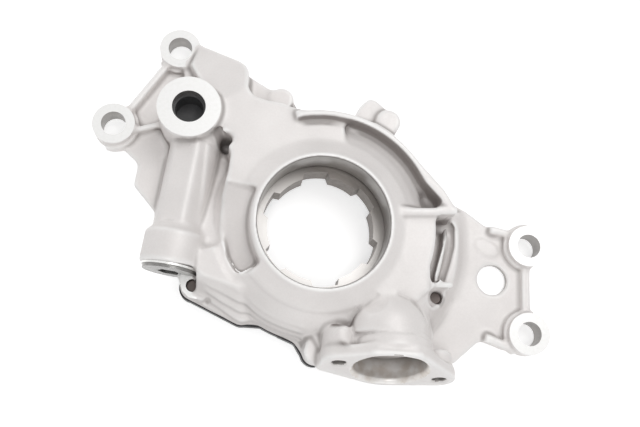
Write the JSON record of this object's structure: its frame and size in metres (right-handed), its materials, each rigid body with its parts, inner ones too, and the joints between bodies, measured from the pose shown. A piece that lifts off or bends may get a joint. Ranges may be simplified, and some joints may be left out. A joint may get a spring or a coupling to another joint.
{
  "type": "engine oil pump",
  "caption": "Crank-driven gerotor engine oil pump: cast aluminium case with bolt ears, inlet flange, relief valve barrel, rotor set and black rear cover plate.",
  "frame": {"origin": "crankshaft axis at the rear mounting plane, which is the rear face of the four bolt ears", "axes": "+Z out of the engine along the crankshaft axis, -Y towards the inlet flange, X across the two pairs of ears"},
  "size_m": [0.1856, 0.1375, 0.0325],
  "materials": {
    "cast_aluminium": "cast",
    "black_steel": "satin",
    "zinc_steel": "satin",
    "sintered_iron": "satin",
    "ground_steel": "polished",
    "spring_steel": "satin",
    "soft_aluminium": "satin",
    "black_plug": "satin"
  },
  "bodies": {
    "case": {"housing": "cast_aluminium", "rear_cover": "black_steel", "cover_screws": "zinc_steel", "relief_spring": "spring_steel", "relief_plug": "zinc_steel", "relief_plug_washer": "soft_aluminium", "outlet_cup_plug": "black_plug"},
    "inner": {"inner_rotor": "sintered_iron"},
    "outer": {"outer_rotor": "sintered_iron"},
    "plunger": {"relief_plunger": "ground_steel"}
  },
  "joints": [
    {"name": "outer_spin", "type": "hinge", "parent": "case", "child": "outer", "pos_m": [-0.0022, 0, 0.0103], "axis": [0, 0, 1], "continuous": true},
    {"name": "inner_spin", "type": "hinge", "parent": "case", "child": "inner", "pos_m": [0, 0, 0.0103], "axis": [0, 0, 1], "continuous": true},
    {"name": "relief_slide", "type": "slide", "parent": "case", "child": "plunger", "axis": [-0.0958, -0.9954, 0], "range_m": [0, 0.01], "stiffness_N_per_m": 4000, "deforming": ["relief_spring"]}
  ],
  "couplings": [
    {"joint": "inner_spin", "follows": "outer_spin", "ratio": 1.1}
  ]
}
